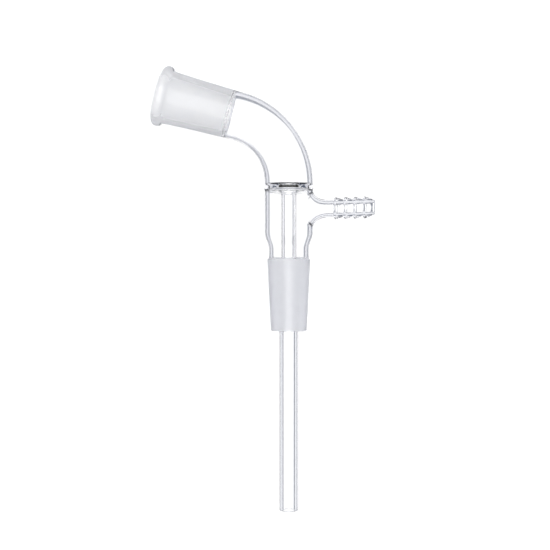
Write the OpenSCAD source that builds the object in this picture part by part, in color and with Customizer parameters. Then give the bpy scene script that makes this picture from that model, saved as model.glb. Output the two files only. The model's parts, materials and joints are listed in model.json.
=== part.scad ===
// Vacuum take-off adapter, 105 degree, blown from clear borosilicate glass.
// A ground socket leads down a bend to a ring seal, which carries the drip tube.
// The drip tube hangs through the body and the ground cone, and the gap around it
// is drawn off through the hose barb on the side.
//
// The glass is drawn upright, with Z along the drip tube and the origin at the middle
// of the ground cone's wide end. At the end it is laid down on its side, as it comes to
// rest on a bench: on the socket's bead, the body's shoulder and the drip tube's tip.

/* [Ground joints] */
// Diameter at the wide end of both ground tapers
joint_d = 24; // [20:0.1:29]
// Length of both ground tapers
joint_l = 40; // [30:1:50]
// Length along the taper in which the diameter drops by 1
joint_taper = 10; // [9:0.5:20]

/* [Socket] */
// Thickness of the socket's wall at its wide end
socket_wall = 2.7; // [1.5:0.1:3.5]
// Height of the bead at the socket's mouth
bead_h = 5.1; // [4:0.1:5.4]
// Width of the bead along the socket
bead_w = 6.7; // [5.6:0.1:8]
// Length over which the bore narrows to the inner end of the taper
inner_shoulder_l = 3; // [1:0.1:5]
// Plain tube between the bend and the ground taper
socket_neck_l = 6.1; // [5:0.1:20]

/* [Bend] */
// Turn of the tube, from straight up to the socket
bend_angle = 75; // [60:1:88]
// Radius of the bend, at the middle of the tube
bend_r = 38.4; // [32:0.1:70]

/* [Body] */
// Outer diameter of the body and the bend
body_d = 27; // [22.5:0.1:33]
// Wall of the body and the bend
wall = 1.8; // [1.2:0.1:2.4]
// Straight length of the body, from the shoulder to the bend
body_l = 27.6; // [26:0.1:80]
// Length of the rounded shoulder between the body and the neck
shoulder_l = 8.8; // [6:0.1:20]

/* [Neck and cone] */
// How far the neck is set in from the ground cone
neck_step = 0.8; // [0.3:0.1:1.5]
// Length of the neck
neck_l = 6.5; // [4:0.5:30]
// Wall of the neck
neck_wall = 1.7; // [1.2:0.1:2.2]
// Wall of the cone at its narrow end
cone_end_wall = 2; // [1.2:0.1:2.4]

/* [Ring seal] */
// Thickness of the glass web that carries the drip tube
web_t = 3.4; // [2.4:0.1:6]
// Radius where the web runs into the body's wall
web_fillet = 1.2; // [0.8:0.1:2.5]
// Straight length between the web's rounding and the bend
web_drop = 0.1; // [0.1:0.1:8]
// How far the seal stands out from the body
seal_bulge = 0.3; // [0.2:0.05:0.8]
// Height of the swollen ring
seal_h = 5.2; // [3:0.1:5.6]

/* [Drip tube] */
// Outer diameter inside the body
inner_tube_d = 8.5; // [7:0.1:9.5]
// Its wall inside the body
inner_tube_wall = 1.35; // [0.8:0.05:1.8]
// Outer diameter below the cone
drip_tube_d = 10.6; // [9.6:0.1:12]
// Its wall below the cone
drip_tube_wall = 1.6; // [1.4:0.1:2]
// Length below the cone
drip_l = 100.5; // [40:0.1:200]
// Rounding of the tip's edges
tip_round = 0.7; // [0.3:0.1:0.7]
// Length of the step from the inner tube to the drip tube
step_l = 2; // [1:0.1:6]

/* [Hose barb] */
// Outer diameter of the plain stem
stem_d = 10; // [9:0.1:11]
// Wall of the stem
stem_wall = 1.8; // [1.2:0.1:2]
// Height of the side arm above the shoulder
arm_h = 12.4; // [10:0.1:30]
// Upward tilt of the side arm
arm_tilt = 1.8; // [0:0.1:8]
// Length of the stem, from the body to the first barb
stem_l = 11.5; // [9:0.1:50]
// Number of barbs
barbs = 4; // [2:1:6]
// Spacing of the barbs
barb_pitch = 5.4; // [4:0.1:8]
// Diameter over the barbs
barb_d = 12.4; // [11.5:0.1:14]
// Diameter between the barbs
barb_root_d = 9.8; // [9:0.1:11]
// Length of a barb's steep side
barb_rise = 1.2; // [0.6:0.1:2]
// Plain length after the last barb
barb_end_l = 1.5; // [1:0.5:10]
// Diameter at the very end
barb_end_d = 9.3; // [9:0.1:10]
// How far the root flare runs out along the stem
flare_l = 7.8; // [5:0.1:9]
// How far the root flare spreads over the body
flare_w = 6; // [3:0.1:6.5]

/* [Hidden] */
$fn = 96;
arc_steps = 8;      // straight pieces in a quarter of a curve
overlap = 1;        // how far joined solids run into each other
rim_round = 0.5;    // rounding at the narrow end of the cone
weld_l = 1;         // how far the socket's weld reaches back over the bend
weld_proud = 0.1;   // how far the weld stands out

joint_end_d = joint_d - joint_l / joint_taper;
body_r = body_d / 2;
bore_r = body_r - wall;
neck_r = joint_d / 2 - neck_step;
neck_bore_r = neck_r - neck_wall;
cone_end_bore_r = joint_end_d / 2 - cone_end_wall;
shoulder_top = neck_l + shoulder_l;
bend_z = shoulder_top + body_l;
seal_z = bend_z - web_drop - web_fillet - web_t / 2;
arm_z = shoulder_top + arm_h;
tip_z = -joint_l - drip_l;

bead_r = bead_w / 2;
bead_ring_r = joint_d / 2 + bead_h - bead_r;
// The bead's curve reaches the ground taper where the taper has its full diameter.
taper_top = socket_neck_l + joint_l;
bead_t = taper_top - sqrt(bead_r * bead_r - pow(bead_h - bead_r, 2));

first_barb_x = body_r + stem_l;
arm_l = first_barb_x + barbs * barb_pitch + barb_end_l;

// The middle of the bead's ring.
bead_x = bend_r * (cos(bend_angle) - 1) - bead_t * sin(bend_angle);
bead_z = bend_z + bend_r * sin(bend_angle) + bead_t * cos(bend_angle);
// The bench touches the bead, the shoulder and the tip, so it slopes along the drip tube
// and a little across it.
rest_slope_z = (body_r - drip_tube_d / 2) / (shoulder_top - tip_z - tip_round);
rest_slope_x = (bead_ring_r + bead_r - body_r - rest_slope_z * (bead_z - shoulder_top)) / bead_x;

// Half of a smooth S between two radii, at share u of its length.
function s_curve(r1, r2, u) = r1 + (r2 - r1) * (1 - cos(180 * u)) / 2;

// Points along an S between two radii, from z1 up to z2.
function s_points(r1, r2, z1, z2) =
    [for (i = [0:2 * arc_steps]) let (u = i / (2 * arc_steps)) [s_curve(r1, r2, u), z1 + (z2 - z1) * u]];

// Points along a quarter of an ellipse with its centre at c, from angle a1 to a2.
function arc_points(c, rx, ry, a1, a2) =
    [for (i = [0:arc_steps]) let (a = a1 + (a2 - a1) * i / arc_steps) c + [rx * cos(a), ry * sin(a)]];

// Spread of the root flare at distance d from the body's surface.
function flare_r(d) = stem_d / 2 + flare_w * (1 - sqrt(1 - pow(1 - d / flare_l, 2)));

// Outside of the cone, the neck, the shoulder and the straight body.
module body_outside() {
    end_r = joint_end_d / 2;
    rotate_extrude()
        polygon(concat(
            [[0, -joint_l]],
            arc_points([end_r - rim_round, rim_round - joint_l], rim_round, rim_round, -90, 0),
            [[joint_d / 2, 0], [neck_r, rim_round]],
            s_points(neck_r, body_r, neck_l, shoulder_top),
            [[body_r, bend_z], [0, bend_z]]
        ));
}

// Inside of the cone, the neck, the shoulder and the straight body.
module body_inside() {
    end_slope = (neck_bore_r - cone_end_bore_r) / joint_l;
    rotate_extrude()
        polygon(concat(
            [
                [0, -joint_l - overlap],
                [cone_end_bore_r - end_slope * overlap, -joint_l - overlap],
                [neck_bore_r, 0]
            ],
            s_points(neck_bore_r, bore_r, neck_l, shoulder_top),
            [[bore_r, bend_z], [0, bend_z]]
        ));
}

// The bent tube, rising from the top of the body.
module bend() {
    translate([-bend_r, 0, bend_z])
        rotate([90, 0, 0])
            rotate_extrude(angle = bend_angle)
                translate([bend_r, 0])
                    difference() {
                        circle(body_r);
                        circle(bore_r);
                    }
}

// Places what is drawn along Z at the upper end of the bend, pointing out of it.
module at_bend_end() {
    translate([-bend_r, 0, bend_z])
        rotate([0, -bend_angle, 0])
            translate([bend_r, 0, 0])
                children();
}

// The socket's tube swells a little over the weld that joins it to the bend.
module socket_outside() {
    rotate_extrude()
        polygon([
            [0, -weld_l],
            [body_r - weld_proud, -weld_l],
            [body_r + weld_proud, -weld_l / 4],
            [body_r + weld_proud, socket_neck_l],
            [joint_d / 2 + socket_wall, bead_t],
            [0, bead_t]
        ]);
    translate([0, 0, bead_t])
        rotate_extrude()
            translate([bead_ring_r, 0])
                circle(bead_r);
}

// Inner shoulder, ground taper and mouth.
module socket_inside() {
    end_r = joint_end_d / 2;
    beyond = bead_w;
    rotate_extrude()
        polygon(concat(
            [[0, -weld_l], [bore_r - weld_proud, -weld_l]],
            s_points(bore_r - weld_proud, end_r, socket_neck_l - inner_shoulder_l, socket_neck_l),
            [[joint_d / 2 + beyond / joint_taper / 2, taper_top + beyond], [0, taper_top + beyond]]
        ));
}

// The glass swells a little where the web is sealed to the body. The swelling is a ring
// with a lens-shaped section, which rises from just under the body's surface.
module seal_swelling() {
    sunk = 0.3;
    rise = seal_bulge + sunk;
    section_r = (pow(seal_h / 2, 2) + rise * rise) / (2 * rise);
    half_angle = asin(seal_h / 2 / section_r);
    middle = [body_r + seal_bulge - section_r, seal_z];
    inner_r = bore_r + wall / 2;
    rotate_extrude()
        polygon(concat(
            [[inner_r, seal_z + seal_h / 2], [inner_r, seal_z - seal_h / 2]],
            arc_points(middle, section_r, section_r, -half_angle, half_angle)
        ));
}

// Web of the ring seal, with rounded corners at the wall and at the drip tube.
module web() {
    top = seal_z + web_t / 2;
    bottom = seal_z - web_t / 2;
    corner_r = bore_r - web_fillet;
    tube_r = inner_tube_d / 2;
    edge_r = bore_r + wall / 2;
    rotate_extrude()
        polygon(concat(
            [[0, top], [corner_r, top]],
            arc_points([corner_r, top + web_fillet], web_fillet, web_fillet, -90, 0),
            [[edge_r, top + web_fillet], [edge_r, bottom - web_fillet]],
            arc_points([corner_r, bottom - web_fillet], web_fillet, web_fillet, 0, 90),
            arc_points([tube_r + web_fillet, bottom - web_fillet], web_fillet, web_fillet, 90, 180),
            [[0, bottom - web_fillet]]
        ));
}

// Drip tube: the narrow part inside the body, a short step, and the wide part below.
module drip_tube_outside() {
    rotate_extrude()
        polygon(concat(
            [[0, tip_z]],
            arc_points([drip_tube_d / 2 - tip_round, tip_z + tip_round], tip_round, tip_round, -90, 0),
            s_points(drip_tube_d / 2, inner_tube_d / 2, -joint_l, step_l - joint_l),
            [[inner_tube_d / 2, seal_z], [0, seal_z]]
        ));
}

module drip_tube_inside() {
    top = seal_z + web_t / 2;
    lip = web_fillet / 2;
    inner_r = inner_tube_d / 2 - inner_tube_wall;
    tip_r = drip_tube_d / 2 - drip_tube_wall;
    rotate_extrude()
        polygon(concat(
            [[0, tip_z - overlap], [tip_r + tip_round, tip_z - overlap], [tip_r + tip_round, tip_z]],
            arc_points([tip_r + tip_round, tip_z + tip_round], tip_round, tip_round, -90, -180),
            s_points(tip_r, inner_r, -joint_l, step_l - joint_l),
            arc_points([inner_r + lip, top - lip], lip, lip, 180, 90),
            [[inner_r + lip, top + overlap], [0, top + overlap]]
        ));
}

// Places what is drawn along Z on the side arm's axis, pointing out of the body.
module at_side_arm() {
    translate([0, 0, arm_z])
        rotate([0, 90 - arm_tilt, 0])
            children();
}

// Stem and barbs. Each barb rises steeply on the body's side and slopes off outwards.
module side_arm_outside() {
    end_round = 1.2;
    at_side_arm()
        rotate_extrude()
            polygon(concat(
                [[0, 0], [stem_d / 2, 0], [stem_d / 2, first_barb_x]],
                [
                    for (i = [0:barbs - 1]) each [
                        [barb_d / 2, first_barb_x + i * barb_pitch + barb_rise],
                        [barb_root_d / 2, first_barb_x + (i + 1) * barb_pitch]
                    ]
                ],
                arc_points([barb_end_d / 2 - end_round, arm_l - end_round], end_round, end_round, 0, 90),
                [[0, arm_l]]
            ));
}

// Flare at the root of the side arm: a trumpet, trimmed where the body curves away below it.
module side_arm_flare() {
    steps = 2 * arc_steps;
    distances = [for (i = [0:steps]) flare_l * pow(i / steps, 2)];
    from_above = [for (d = distances) [sqrt(pow(body_r + d, 2) - pow(flare_r(d), 2)), flare_r(d)]];
    at_side_arm()
        intersection() {
            rotate_extrude()
                polygon(concat(
                    [[0, 0], [flare_r(0), 0]],
                    [for (d = distances) [flare_r(d), body_r + d]],
                    [[0, body_r + flare_l]]
                ));
            rotate([90, 0, 90])
                linear_extrude(2 * body_d, center = true)
                    polygon(concat(
                        [[-flare_r(0), 0], [flare_r(0), 0]],
                        [for (p = from_above) [p[1], p[0]]],
                        [for (i = [steps:-1:0]) [-from_above[i][1], from_above[i][0]]]
                    ));
        }
}

module side_arm_inside() {
    at_side_arm()
        cylinder(h = arm_l + overlap, d = stem_d - 2 * stem_wall);
}

// Body, neck and ground cone, with the side arm opening into the body.
module body() {
    difference() {
        union() {
            body_outside();
            side_arm_outside();
            side_arm_flare();
        }
        body_inside();
        side_arm_inside();
    }
}

module socket() {
    difference() {
        socket_outside();
        socket_inside();
    }
}

// The web and the drip tube, bored through.
module drip_tube() {
    difference() {
        union() {
            web();
            drip_tube_outside();
        }
        drip_tube_inside();
    }
}

// The whole adapter, upright.
module adapter() {
    body();
    bend();
    at_bend_end()
        socket();
    seal_swelling();
    drip_tube();
}

// Turned flat, with the socket to the left, then tipped onto its three resting points.
module glass() {
    tip_x = atan(rest_slope_z);
    tip_y = -atan(rest_slope_x * cos(tip_x));
    color([0.86, 0.89, 0.93, 0.6])
        rotate([tip_x - 90, tip_y, 0])
            adapter();
}

glass();
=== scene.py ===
"""The looks of a vacuum take-off adapter: clear blown glass with two finely ground tapers.

The glass is one closed surface. Its section is drawn upright, as one outline round the drip
tube's axis, with the upper tube standing straight. The outline is spun, the side arm is grown
out of the wall, the upper tube is bent over, and the glass is laid down as the frame has it.
Lengths are in millimetres until it is laid down.
"""

import json
from math import acos, asin, atan2, cos, degrees, pi, radians, sin, sqrt, tan

import bmesh
import bpy
from mathutils import Matrix, Vector


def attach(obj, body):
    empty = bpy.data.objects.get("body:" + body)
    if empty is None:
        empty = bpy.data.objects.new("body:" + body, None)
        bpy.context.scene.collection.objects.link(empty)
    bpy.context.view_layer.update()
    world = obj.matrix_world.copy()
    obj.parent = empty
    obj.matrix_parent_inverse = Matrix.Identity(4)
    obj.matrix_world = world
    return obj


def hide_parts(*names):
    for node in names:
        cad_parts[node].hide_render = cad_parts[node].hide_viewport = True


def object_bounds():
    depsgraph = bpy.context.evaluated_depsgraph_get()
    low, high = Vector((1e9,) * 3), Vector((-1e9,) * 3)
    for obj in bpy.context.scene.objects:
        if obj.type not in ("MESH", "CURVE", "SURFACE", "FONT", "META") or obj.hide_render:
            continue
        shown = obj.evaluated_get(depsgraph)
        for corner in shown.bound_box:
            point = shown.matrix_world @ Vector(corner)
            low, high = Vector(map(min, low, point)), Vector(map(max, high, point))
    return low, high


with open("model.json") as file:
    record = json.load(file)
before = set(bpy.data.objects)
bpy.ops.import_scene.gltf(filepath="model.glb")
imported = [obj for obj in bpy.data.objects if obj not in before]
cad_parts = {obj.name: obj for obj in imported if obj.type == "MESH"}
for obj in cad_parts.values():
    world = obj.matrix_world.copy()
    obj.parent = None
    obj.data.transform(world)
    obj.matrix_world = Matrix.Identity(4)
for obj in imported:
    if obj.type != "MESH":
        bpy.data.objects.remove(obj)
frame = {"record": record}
cad_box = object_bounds()

MM = 0.001

# The ground tapers, both of one size.
JOINT_R = 12.0
JOINT_L = 40.0
JOINT_END_R = JOINT_R - JOINT_L / 20
CONE_BORE_R = 8.0
CONE_LIP = 0.5

# The neck above the cone, and the body.
NECK_R = 11.2
NECK_BORE_R = 9.5
NECK_L = 6.5
BODY_R = 13.5
BORE_R = 11.7
SHOULDER_TOP = 15.3
SHOULDER_CURVE_TOP = SHOULDER_TOP - 0.7

# The seal's ring on the body, between the two grooves of its welds.
SEAL_Z = 39.9
SEAL_HALF = 1.95
SEAL_PROUD = 0.25
SEAL_RING_HALF = 0.8 * SEAL_HALF
LOWER_WELD = SEAL_Z - SEAL_HALF
UPPER_WELD = SEAL_Z + SEAL_HALF + 0.25
WELD_DEPTH = 0.15
WELD_HALF = 0.35
WELD_FLOOR_HALF = 0.08

# The web of the seal slopes up from the inner tube. Its faces would meet the bore at these heights.
WEB_SLOPE = 20
WEB_TOP = 41.9
WEB_UNDER = 40.0
WEB_RIM_R = BORE_R - 1.0
THROAT_CURL = 2.2
TUBE_FILLET = 2.2
WALL_FILLET = 1.0

# The drip tube, narrow inside the body and wide below the cone.
INNER_TUBE_R = 4.25
INNER_TUBE_BORE_R = 2.9
DRIP_TUBE_R = 5.3
DRIP_TUBE_BORE_R = 3.7
STEP_TOP = 2.0 - JOINT_L
TIP_Z = -140.5
TIP_ROUND = 0.75

# The bend and the socket. Heights above BEND_Z are measured along the tube.
BEND_Z = 42.9
BEND_RADIUS = 38.4
BEND_ANGLE = radians(75)
BEND_TOP = BEND_Z + BEND_RADIUS * BEND_ANGLE
BEND_ROWS = 26
FLATTENING = 0.026
TAPER_END = BEND_TOP + 6.1
TAPER_TOP = TAPER_END + JOINT_L
BEAD_R = 3.35
BEAD_RING_R = 13.75
BEAD_Z = TAPER_TOP - sqrt(BEAD_R ** 2 - (BEAD_RING_R - JOINT_R) ** 2)
BEAD_FOOT = -68
# The tube swells a little where the ground taper begins, and again towards the bead.
SWELL_START = TAPER_END - 3
SWELL_R = BODY_R + 0.1
MID_SOCKET_R = 14.1
MID_SOCKET_Z = BEAD_Z - 20
SOCKET_R = 14.7
SOCKET_TOP = BEAD_Z - 4.6

# The side arm, measured outwards from the drip tube's axis.
ARM_Z = 28.12
ARM_SLOPE = tan(radians(1.8))
STEM_R = 5.0
STEM_BORE_R = 3.2
FLARE_W = 5.6
FLARE_L = 7.8
INNER_FLARE_W = 7.4
INNER_FLARE_L = 9.6
OUTER_WINDOW = 9.85
INNER_WINDOW = 8.75
FIRST_BARB = 25.0
BARBS = 4
BARB_PITCH = 5.4
BARB_RISE = 1.2
BARB_R = 6.2
BARB_ROOT_R = 4.9
LAST_BARB_END = FIRST_BARB + BARBS * BARB_PITCH
ARM_END = 48.1
ARM_END_R = 4.65
END_ROUND_L = 1.2
END_ROUND_W = 0.95
LIP_ROUND_L = 0.8
LIP_ROUND_W = 0.5

# How many sides the spun glass has, and how many of them the side arm takes to either side.
SIDES = 64
ARM_HALF = 9
FLARE_RINGS = 14
# Points this near each other are one, and points this near a wall are on it.
SAME_PLACE = 0.002
WALL_FIND = 0.3
GRIND_FIND = 0.06

CLEAR, GROUND_CONE, GROUND_SOCKET = 0, 1, 2

GLASS_IOR = 1.473
# Where the patches of the grind begin and end in its cloud of greys, and how rough they are.
PATCH_EDGES = (0.35, 0.65)
GRIND_ROUGHNESS = (0.55, 0.70)

# The camera, on the upright glass: what it looks at, from how far, and how wide a view it has there.
VIEW_MIDDLE = Vector((-7.7, 0, -8.8))
VIEW_DISTANCE = 597
VIEW_WIDTH = 308
SENSOR_WIDTH = 36

# What is seen by the angle from straight down, in degrees: the lamps in their square box under the
# sheet, a dark gap round them, pale walls and a bright ceiling. The gap's far side is a circle.
ROOM = (
    (0, (1.12, 1.12, 1.13)),
    (15.2, (1.12, 1.12, 1.13)),
    (17, (0.30, 0.32, 0.38)),
    (18.5, (0.04, 0.06, 0.11)),
    (29, (0.04, 0.06, 0.11)),
    (34, (0.70, 0.71, 0.77)),
    (46, (0.80, 0.81, 0.87)),
    (60, (0.84, 0.85, 0.90)),
    (80, (0.87, 0.88, 0.92)),
    (100, (0.90, 0.91, 0.94)),
    (150, (1.0, 1.0, 1.0)),
)
SQUARE_TO = 24
ROUND_FROM = 29
# Width of the lamp box over its length, which lies along the drip tube.
BOX_ASPECT = 0.85
SHEET_SHARE = 0.12
FLOOR_HALF = 1.5
FLOOR_GAP = 0.0002


# ---------------------------------------------------------------- the outline
# Points are (radius, height). Close rows on a straight stretch keep the edge beside them crisp
# when the skin is smoothed.

def arc(centre, radius, start, end, pieces):
    """Points on an arc, from angle start to end in degrees."""
    angles = [radians(start + (end - start) * i / pieces) for i in range(pieces + 1)]
    return [(centre[0] + radius * cos(a), centre[1] + radius * sin(a)) for a in angles]


def s_curve(start, end, pieces, straight=0.0):
    """Points on an S that leaves start and reaches end along the tube, partly as a straight cone."""
    points = []
    for i in range(pieces + 1):
        u = i / pieces
        share = (1 - cos(pi * u)) / 2 * (1 - straight) + u * straight
        points.append((start[0] + (end[0] - start[0]) * share, start[1] + (end[1] - start[1]) * u))
    return points


def backwards(points):
    """The same points from the other end."""
    return list(reversed(points))


def bend_rows(radius):
    """Points up the length that is going to be bent, both ends left out."""
    low, high = BEND_Z - 0.3, BEND_TOP
    return [(radius, low + (high - low) * i / BEND_ROWS) for i in range(1, BEND_ROWS)]


def window_rows(radius, half):
    """Points on a wall beside the side arm, one to each row of the window that the arm fills."""
    return [(radius, ARM_Z + half * (i / ARM_HALF - 1)) for i in range(2 * ARM_HALF + 1)]


def weld(z):
    """The fine groove that a weld leaves round the body."""
    floor_r = BODY_R - WELD_DEPTH
    floor = [(floor_r, z - WELD_FLOOR_HALF), (floor_r, z + WELD_FLOOR_HALF)]
    return [(BODY_R, z - WELD_HALF)] + floor + [(BODY_R, z + WELD_HALF)]


def cone_outside():
    """The ground cone from its narrow end up, and the small step in to the neck."""
    return (
        arc((JOINT_END_R - CONE_LIP, CONE_LIP - JOINT_L), CONE_LIP, -90, 0, 4)
        + [(JOINT_END_R + 0.05, 1 - JOINT_L), (JOINT_R - 0.05, -1)]
        + [(JOINT_R - 0.01, -0.15), (JOINT_R - 0.15, 0.1)]
        + [(NECK_R + 0.2, 0.3), (NECK_R, 0.7), (NECK_R, 1.4)]
    )


def body_outside():
    """The shoulder, and the wall that the side arm grows from."""
    return (
        s_curve((NECK_R, NECK_L), (BODY_R, SHOULDER_CURVE_TOP), 12, straight=0.5)
        + [(BODY_R, SHOULDER_TOP + 1.2)]
        + window_rows(BODY_R, OUTER_WINDOW)
    )


def seal_outside():
    """The seal's ring, slightly proud, with a weld below it and one above."""
    ring = []
    for i in range(1, 6):
        ring.append((BODY_R + SEAL_PROUD * sin(pi * i / 6), SEAL_Z + SEAL_RING_HALF * (i / 3 - 1)))
    return weld(LOWER_WELD) + ring + weld(UPPER_WELD)


def socket_outside():
    """The tube beyond the bend, the slightly thicker socket and the outer part of its bead."""
    return (
        [(BODY_R, BEND_TOP), (BODY_R, SWELL_START)]
        + [(SWELL_R + 0.02, SWELL_START + 1.4), (SWELL_R, TAPER_END)]
        + [(MID_SOCKET_R, MID_SOCKET_Z), (SOCKET_R, SOCKET_TOP)]
        + arc((BEAD_RING_R, BEAD_Z), BEAD_R, BEAD_FOOT, 90, 16)
    )


def socket_inside():
    """The rest of the bead, the ground taper, and the short rounded step out to the bend's bore."""
    mouth = 90 + degrees(asin((BEAD_RING_R - JOINT_R) / BEAD_R))
    return (
        arc((BEAD_RING_R, BEAD_Z), BEAD_R, 90, mouth, 4)[1:]
        + [(JOINT_R - 0.04, TAPER_TOP - 0.8), (JOINT_END_R + 0.04, TAPER_END + 0.8)]
        + [(JOINT_END_R, TAPER_END + 0.1), (JOINT_END_R + 0.08, TAPER_END - 0.1)]
        + [(JOINT_END_R + 0.55, TAPER_END - 0.55), (BORE_R - 0.5, TAPER_END - 1.0)]
        + [(BORE_R - 0.08, TAPER_END - 1.35), (BORE_R, TAPER_END - 1.9)]
    )


def web_height(radius, at_wall):
    """Height of a face of the web, which would meet the bore at the height at_wall."""
    return at_wall + (radius - BORE_R) * tan(radians(WEB_SLOPE))


def fillet_height(radius, at_wall, fillet):
    """Height of the middle of a fillet that lies under that face of the web."""
    return web_height(radius, at_wall) - fillet / cos(radians(WEB_SLOPE))


def throat():
    """The web's upper side, from the bore's wall down into the inner tube."""
    curl_r = INNER_TUBE_BORE_R + THROAT_CURL
    curl_z = fillet_height(curl_r, WEB_TOP, THROAT_CURL)
    rim_z = web_height(WEB_RIM_R, WEB_TOP)
    return (
        [(BORE_R, rim_z + 1.5), (BORE_R - 0.05, rim_z + 0.95), (BORE_R - 0.4, rim_z + 0.4)]
        + [(WEB_RIM_R, rim_z)]
        + arc((curl_r, curl_z), THROAT_CURL, 90 + WEB_SLOPE, 180, 8)
        + [(INNER_TUBE_BORE_R, curl_z - 1)]
    )


def drip_tube_inside():
    """The bore from the body down to the tip, with the step inside the cone's end."""
    return (
        [(INNER_TUBE_BORE_R, STEP_TOP + 1)]
        + s_curve((INNER_TUBE_BORE_R, STEP_TOP), (DRIP_TUBE_BORE_R, -JOINT_L), 6)
        + [(DRIP_TUBE_BORE_R, -JOINT_L - 1), (DRIP_TUBE_BORE_R, TIP_Z + TIP_ROUND + 0.8)]
        + arc((DRIP_TUBE_BORE_R + TIP_ROUND, TIP_Z + TIP_ROUND), TIP_ROUND, 180, 270, 5)
    )


def drip_tube_outside():
    """The drip tube from its tip up into the body."""
    return (
        arc((DRIP_TUBE_R - TIP_ROUND, TIP_Z + TIP_ROUND), TIP_ROUND, -90, 0, 5)
        + [(DRIP_TUBE_R, TIP_Z + TIP_ROUND + 0.8), (DRIP_TUBE_R, -JOINT_L - 1)]
        + s_curve((DRIP_TUBE_R, -JOINT_L), (INNER_TUBE_R, STEP_TOP), 6)
        + [(INNER_TUBE_R, STEP_TOP + 1)]
    )


def web_underside():
    """The web's lower side, from a fillet round the inner tube to one in the corner at the wall."""
    root_r = INNER_TUBE_R + TUBE_FILLET
    root_z = fillet_height(root_r, WEB_UNDER, TUBE_FILLET)
    corner_r = BORE_R - WALL_FILLET
    corner_z = fillet_height(corner_r, WEB_UNDER, WALL_FILLET)
    return (
        [(INNER_TUBE_R, root_z - 1)]
        + arc((root_r, root_z), TUBE_FILLET, 180, 90 + WEB_SLOPE, 8)
        + arc((corner_r, corner_z), WALL_FILLET, 90 + WEB_SLOPE, 0, 6)[:-1]
    )


def body_inside():
    """The gas space's wall, from under the web down through the neck and the cone."""
    return (
        backwards(window_rows(BORE_R, INNER_WINDOW))
        + [(BORE_R, SHOULDER_TOP + 1.2)]
        + backwards(s_curve((NECK_BORE_R, NECK_L), (BORE_R, SHOULDER_CURVE_TOP), 12, straight=0.5))
        + [(NECK_BORE_R, 1), (NECK_BORE_R, -0.5), (CONE_BORE_R + 0.04, 1.3 - JOINT_L)]
        + arc((CONE_BORE_R + CONE_LIP, CONE_LIP - JOINT_L), CONE_LIP, 180, 270, 4)
    )


def outline():
    """The whole section: up the outside, down the way through, and round the gas space."""
    outside = cone_outside() + body_outside() + seal_outside() + bend_rows(BODY_R) + socket_outside()
    bend_inside = [(BORE_R, BEND_TOP)] + backwards(bend_rows(BORE_R))
    passage = socket_inside() + bend_inside + throat() + drip_tube_inside()
    gas_space = drip_tube_outside() + web_underside() + body_inside()
    return outside + passage + gas_space


# ------------------------------------------------------------- the glass blowing

def spin_outline(bm, points):
    """Spins the closed outline round the drip tube's axis."""
    corners = [bm.verts.new((r, 0, z)) for r, z in points]
    sides = [bm.edges.new(pair) for pair in zip(corners, corners[1:] + corners[:1])]
    bmesh.ops.spin(bm, geom=corners + sides, cent=(0, 0, 0), axis=(0, 0, 1), dvec=(0, 0, 0),
                   angle=2 * pi, steps=SIDES, use_merge=True, use_normal_flip=False, use_duplicate=False)
    bmesh.ops.remove_doubles(bm, verts=bm.verts, dist=SAME_PLACE)


def on_wall(point, radius):
    """Whether a point is on the wall of that radius round the drip tube."""
    return abs(point.to_2d().length - radius) < WALL_FIND


def open_window(bm, radius, half):
    """Takes out the wall between the window's rows and returns the edges round the hole."""
    turn = 2 * pi * ARM_HALF / SIDES

    def inside(face):
        middle = face.calc_center_median()
        beside = middle.x > 0 and abs(atan2(middle.y, middle.x)) < turn
        return beside and on_wall(middle, radius) and abs(middle.z - ARM_Z) < half

    bmesh.ops.delete(bm, geom=[f for f in bm.faces if inside(f)], context="FACES")
    return [e for e in bm.edges if e.is_boundary and on_wall(e.verts[0].co, radius)]


def arm_height(x):
    """Height of the side arm's axis, which rises a little outside the body."""
    return ARM_Z + max(x - BODY_R, 0) * ARM_SLOPE


def grow(bm, rim, spread, reach=None, wall=None, share=1):
    """Extrudes a rim round the side arm's axis. Its points go the given share of the way to spread.

    They lie at reach along the arm, or on a wall of that radius round the drip tube.
    """
    grown = bmesh.ops.extrude_edge_only(bm, edges=rim)["geom"]
    points = {g for g in grown if isinstance(g, bmesh.types.BMVert)}
    for v in points:
        y = v.co.y
        z = v.co.z - arm_height(v.co.x)
        scale = 1 + (spread / sqrt(y * y + z * z) - 1) * share
        v.co.y = y * scale
        v.co.x = sqrt(wall ** 2 - v.co.y ** 2) if wall else reach
        v.co.z = arm_height(v.co.x) + z * scale
    return list({e for v in points for e in v.link_edges if e.other_vert(v) in points})


def grow_flare(bm, hole, wall, radius, width, length, first):
    """Rounds a square hole in a wall and draws its rim out into a flare, a quarter of an ellipse."""
    turns = [radians(first + (90 - first) * i / FLARE_RINGS) for i in range(FLARE_RINGS + 1)]
    rings = [(wall + length * (1 - cos(a)), radius + width * (1 - sin(a))) for a in turns]
    rim = hole
    for steps_left in (5, 4, 3, 2):
        rim = grow(bm, rim, rings[0][1], wall=wall, share=1 / steps_left)
    for reach, spread in rings:
        rim = grow(bm, rim, spread, wall=reach)
    return rim


def barb_rings(root):
    """Reach and radius over one barb: up its steep side, over the crest and down the long slope."""
    crest = root + BARB_RISE
    tail = root + BARB_PITCH
    fall = (BARB_R - BARB_ROOT_R) / (tail - crest)
    return [
        (root + 0.1, BARB_ROOT_R + 0.06), (crest - 0.2, BARB_R - 0.1), (crest, BARB_R),
        (crest + 0.25, BARB_R - 0.03), (crest + 1, BARB_R - fall),
        (tail - 0.6, BARB_ROOT_R + 0.6 * fall), (tail - 0.1, BARB_ROOT_R + 0.02),
    ]


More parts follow.
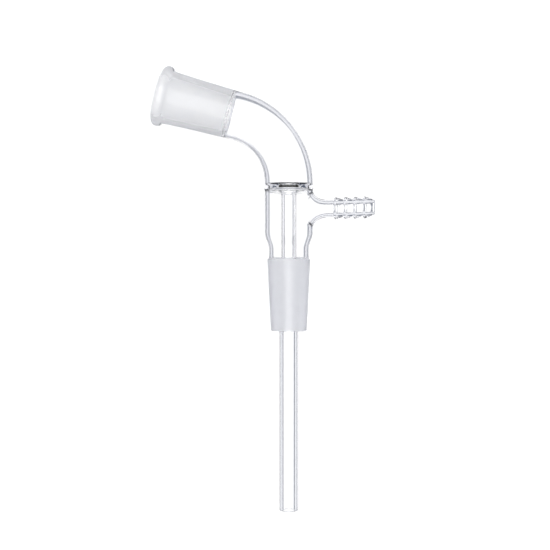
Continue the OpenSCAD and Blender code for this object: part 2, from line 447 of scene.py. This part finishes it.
def stem_rings():
    """Reach and radius along the outside of the stem, over its barbs and round its end."""
    rings = [(BODY_R + FLARE_L + 1.2, STEM_R), (FIRST_BARB - 0.9, STEM_R), (FIRST_BARB - 0.2, STEM_R)]
    for i in range(BARBS):
        rings += barb_rings(FIRST_BARB + i * BARB_PITCH)
    rings[-1] = (LAST_BARB_END - 0.4, ARM_END_R + 0.14)
    for a in [radians(90 * i / 6) for i in range(7)]:
        rings.append((ARM_END - END_ROUND_L * (1 - sin(a)), ARM_END_R - END_ROUND_W * (1 - cos(a))))
    return rings


def lip_rings():
    """Reach and radius over the arm's end into its bore, and back along the bore to the root."""
    rings = []
    for a in [radians(90 * i / 4) for i in range(5)]:
        rings.append((ARM_END - LIP_ROUND_L * (1 - cos(a)), STEM_BORE_R + LIP_ROUND_W * (1 - sin(a))))
    return rings + [(reach, STEM_BORE_R) for reach in (ARM_END - 2, FIRST_BARB, BODY_R + FLARE_L + 1)]


def blow_side_arm(bm):
    """Grows the side arm out of the body's wall, and its bore out of the gas space."""
    hole = open_window(bm, BODY_R, OUTER_WINDOW)
    rim = grow_flare(bm, hole, BODY_R, STEM_R, FLARE_W, FLARE_L, first=11.3)
    for reach, spread in stem_rings() + lip_rings():
        rim = grow(bm, rim, spread, reach)
    hole = open_window(bm, BORE_R, INNER_WINDOW)
    bore = grow_flare(bm, hole, BORE_R, STEM_BORE_R, INNER_FLARE_W, INNER_FLARE_L, first=16)
    bmesh.ops.bridge_loops(bm, edges=rim + bore)


def grind(bm):
    """Marks the faces of both ground tapers, before the tube is bent."""
    for face in bm.faces:
        middle = face.calc_center_median()
        r = middle.to_2d().length
        on_cone = -JOINT_L < middle.z < 0 and JOINT_END_R - GRIND_FIND < r < JOINT_R + GRIND_FIND
        in_socket = TAPER_END < middle.z < TAPER_TOP and r < JOINT_R
        face.material_index = GROUND_CONE if on_cone else GROUND_SOCKET if in_socket else CLEAR


def bend_over(bm):
    """Bends the upper tube over to the left. The tube goes a little flat on the way round."""
    for v in bm.verts:
        if v.co.z <= BEND_Z:
            continue
        along = v.co.z - BEND_Z
        turn = min(along / BEND_RADIUS, BEND_ANGLE)
        straight = along - turn * BEND_RADIUS
        squeeze = FLATTENING * sin(pi * turn / BEND_ANGLE) ** 2
        out = BEND_RADIUS + v.co.x * (1 - squeeze)
        v.co.x = out * cos(turn) - BEND_RADIUS - straight * sin(turn)
        v.co.y *= 1 + squeeze / 2
        v.co.z = BEND_Z + out * sin(turn) + straight * cos(turn)


def laid_down():
    """Takes the upright glass to where the frame has it, from two of the frame's mounts."""
    mounts = {m["name"]: m for m in frame["record"]["mounts"]}
    up = -Vector(mounts["ground_cone"]["axis"]).normalized()
    back = Vector(mounts["ground_socket"]["axis"]).cross(up).normalized()
    turn = Matrix((back.cross(up), back, up)).transposed()
    place = Matrix.Translation(mounts["ground_cone"]["pos_m"])
    return place @ turn.to_4x4() @ Matrix.Scale(MM, 4)


def object_from(bm, name):
    """Puts a finished bmesh into the scene."""
    mesh = bpy.data.meshes.new(name)
    bm.to_mesh(mesh)
    bm.free()
    made = bpy.data.objects.new(name, mesh)
    bpy.context.scene.collection.objects.link(made)
    return made


def blow_glass():
    """The whole glass, with its ground tapers marked and its skin smoothed."""
    bm = bmesh.new()
    spin_outline(bm, outline())
    blow_side_arm(bm)
    bmesh.ops.recalc_face_normals(bm, faces=bm.faces)
    grind(bm)
    bend_over(bm)
    bmesh.ops.transform(bm, matrix=laid_down(), verts=bm.verts)
    for face in bm.faces:
        face.smooth = True
    piece = object_from(bm, "adapter_glass")
    skin = piece.modifiers.new("even_skin", "SUBSURF")
    skin.levels = skin.render_levels = 1
    return piece


# ------------------------------------------------------------------- finishes

def glass_material(name, clearness):
    """Borosilicate glass that lets the given share of the light through its surface."""
    mat = bpy.data.materials.new(name)
    mat.use_nodes = True
    shader = mat.node_tree.nodes["Principled BSDF"]
    shader.inputs["IOR"].default_value = GLASS_IOR
    shader.inputs["Transmission Weight"].default_value = clearness
    return mat, shader


def cloud_on(tree, scale, detail):
    """A cloud of greys fixed to the glass."""
    place = tree.nodes.new("ShaderNodeTexCoord")
    noise = tree.nodes.new("ShaderNodeTexNoise")
    noise.inputs["Scale"].default_value = scale
    noise.inputs["Detail"].default_value = detail
    tree.links.new(place.outputs["Object"], noise.inputs["Vector"])
    return noise.outputs["Fac"]


def bump_on(tree, scale, detail, depth):
    """A normal that follows such a cloud, with its height in metres."""
    bump = tree.nodes.new("ShaderNodeBump")
    bump.inputs["Strength"].default_value = 1.0
    bump.inputs["Distance"].default_value = depth
    tree.links.new(cloud_on(tree, scale, detail), bump.inputs["Height"])
    return bump.outputs["Normal"]


def clear_glass():
    """Fire polished glass, with a faint ripple left by the drawing."""
    mat, shader = glass_material("clear_glass", clearness=1.0)
    shader.inputs["Base Color"].default_value = (1, 1, 1, 1)
    shader.inputs["Roughness"].default_value = 0.0
    ripple = bump_on(mat.node_tree, scale=45, detail=1, depth=0.000003)
    mat.node_tree.links.new(ripple, shader.inputs["Normal"])
    return mat


def ground_glass(name, dark, light, clearness):
    """Glass after fine grinding: it scatters what passes through it, a little unevenly."""
    mat, shader = glass_material(name, clearness)
    tree = mat.node_tree
    cloud = cloud_on(tree, scale=160, detail=4)
    tint = tree.nodes.new("ShaderNodeValToRGB")
    for stop, place, colour in zip(tint.color_ramp.elements, PATCH_EDGES, (dark, light)):
        stop.position = place
        stop.color = (*colour, 1)
    tree.links.new(cloud, tint.inputs["Fac"])
    tree.links.new(tint.outputs["Color"], shader.inputs["Base Color"])
    grain = tree.nodes.new("ShaderNodeMapRange")
    grain.inputs["To Min"].default_value, grain.inputs["To Max"].default_value = GRIND_ROUGHNESS
    tree.links.new(cloud, grain.inputs["Value"])
    tree.links.new(grain.outputs["Result"], shader.inputs["Roughness"])
    grit = bump_on(tree, scale=2600, detail=2, depth=0.00001)
    tree.links.new(grit, shader.inputs["Normal"])
    return mat


def ground_cone_glass():
    """The cone's grind, the greyer of the two: its darker tint is painted shade for the drip tube inside it
    and its thicker wall.
    """
    return ground_glass("ground_cone", (0.90, 0.905, 0.93), (0.95, 0.955, 0.975), clearness=0.87)


def ground_socket_glass():
    """The socket's grind, seen through the clear outside."""
    return ground_glass("ground_socket", (0.96, 0.965, 0.98), (1, 1, 1), clearness=0.55)


def pale_sheet():
    """The light table's top, a thin pale sheet that lets most of the room's light through."""
    mat = bpy.data.materials.new("pale_sheet")
    mat.use_nodes = True
    nodes, links = mat.node_tree.nodes, mat.node_tree.links
    nodes.clear()
    sheet = nodes.new("ShaderNodeBsdfDiffuse")
    sheet.inputs["Color"].default_value = (0.93, 0.93, 0.935, 1)
    through = nodes.new("ShaderNodeBsdfTransparent")
    blend = nodes.new("ShaderNodeMixShader")
    blend.inputs["Fac"].default_value = SHEET_SHARE
    links.new(through.outputs["BSDF"], blend.inputs[1])
    links.new(sheet.outputs["BSDF"], blend.inputs[2])
    out = nodes.new("ShaderNodeOutputMaterial")
    links.new(blend.outputs["Shader"], out.inputs["Surface"])
    return mat


# ---------------------------------------------------------------- the studio

def lay_floor(height):
    """The light table's top, just under the glass."""
    bm = bmesh.new()
    bmesh.ops.create_grid(bm, x_segments=1, y_segments=1, size=FLOOR_HALF,
                          matrix=Matrix.Translation((0, 0, height - FLOOR_GAP)))
    floor = object_from(bm, "floor")
    floor.data.materials.append(pale_sheet())


def hang_softbox(height, size, watts):
    """A square lamp over the table, shining straight down."""
    lamp = bpy.data.lights.new("top_softbox", "AREA")
    lamp.shape = "SQUARE"
    lamp.size = size
    lamp.energy = watts
    holder = bpy.data.objects.new("top_softbox", lamp)
    holder.location = (0, 0, height)
    bpy.context.scene.collection.objects.link(holder)


def calculated(tree, operation, first, second=None):
    """One sum on the values of other nodes, or on plain numbers."""
    node = tree.nodes.new("ShaderNodeMath")
    node.operation = operation
    for socket, value in zip(node.inputs, (first, second)):
        if isinstance(value, bpy.types.NodeSocket):
            tree.links.new(value, socket)
        elif value is not None:
            socket.default_value = value
    return node.outputs["Value"]


def rising(tree, value, low, high):
    """Goes smoothly from 0 at low to 1 at high."""
    node = tree.nodes.new("ShaderNodeMapRange")
    node.interpolation_type = "SMOOTHSTEP"
    tree.links.new(value, node.inputs["Value"])
    node.inputs["From Min"].default_value = low
    node.inputs["From Max"].default_value = high
    return node.outputs["Result"]


def angle_from_down(tree, tilt):
    """The angle of a direction from straight down, measured on squares near it and on circles far out."""
    ray = tree.nodes.new("ShaderNodeTexCoord")
    turn = tree.nodes.new("ShaderNodeVectorRotate")
    turn.rotation_type = "X_AXIS"
    turn.inputs["Angle"].default_value = tilt
    tree.links.new(ray.outputs["Generated"], turn.inputs["Vector"])
    split = tree.nodes.new("ShaderNodeSeparateXYZ")
    tree.links.new(turn.outputs["Vector"], split.inputs["Vector"])
    down = calculated(tree, "MULTIPLY", split.outputs["Z"], -1)
    across = calculated(tree, "ABSOLUTE", split.outputs["X"])
    along = calculated(tree, "MULTIPLY", calculated(tree, "ABSOLUTE", split.outputs["Y"]), BOX_ASPECT)
    on_square = calculated(tree, "ARCTAN2", calculated(tree, "MAXIMUM", across, along), down)
    on_circle = calculated(tree, "ARCCOSINE", down)
    blend = tree.nodes.new("ShaderNodeMix")
    tree.links.new(rising(tree, on_circle, radians(SQUARE_TO), radians(ROUND_FROM)), blend.inputs["Factor"])
    tree.links.new(on_square, blend.inputs["A"])
    tree.links.new(on_circle, blend.inputs["B"])
    return blend.outputs["Result"]


def light_room(tilt):
    """The room as a world, turned by tilt so that the lamp box faces the camera."""
    world = bpy.data.worlds.new("room")
    world.use_nodes = True
    tree = world.node_tree
    ramp = tree.nodes.new("ShaderNodeValToRGB")
    while len(ramp.color_ramp.elements) < len(ROOM):
        ramp.color_ramp.elements.new(1)
    for stop, (angle, colour) in zip(ramp.color_ramp.elements, ROOM):
        stop.position = angle / 180
        stop.color = (*colour, 1)
    tree.links.new(calculated(tree, "DIVIDE", angle_from_down(tree, tilt), pi), ramp.inputs["Fac"])
    tree.links.new(ramp.outputs["Color"], tree.nodes["Background"].inputs["Color"])
    bpy.context.scene.world = world


def set_camera():
    """Looks straight down on the plane of the tubes, as the adapter is shown in use."""
    place = laid_down()
    cam = bpy.data.objects.new("camera", bpy.data.cameras.new("camera"))
    cam.data.sensor_width = SENSOR_WIDTH
    cam.data.lens = SENSOR_WIDTH * VIEW_DISTANCE / VIEW_WIDTH
    cam.data.clip_start = 0.01
    cam.location = place @ (VIEW_MIDDLE - Vector((0, VIEW_DISTANCE, 0)))
    turn = place.to_3x3().normalized()
    cam.rotation_mode = "QUATERNION"
    cam.rotation_quaternion = (turn @ Matrix.Rotation(pi / 2, 3, "X")).to_quaternion()
    bpy.context.scene.collection.objects.link(cam)
    bpy.context.scene.camera = cam


set_camera()
light_room(tilt=-acos(laid_down().col[2].normalized().y))
hang_softbox(height=1.3, size=1.6, watts=14)
lay_floor(cad_box[0][2])

glass = blow_glass()
for finish in (clear_glass(), ground_cone_glass(), ground_socket_glass()):
    glass.data.materials.append(finish)
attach(glass, "root")
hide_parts("glass")

bpy.context.scene.view_settings.view_transform = "Standard"
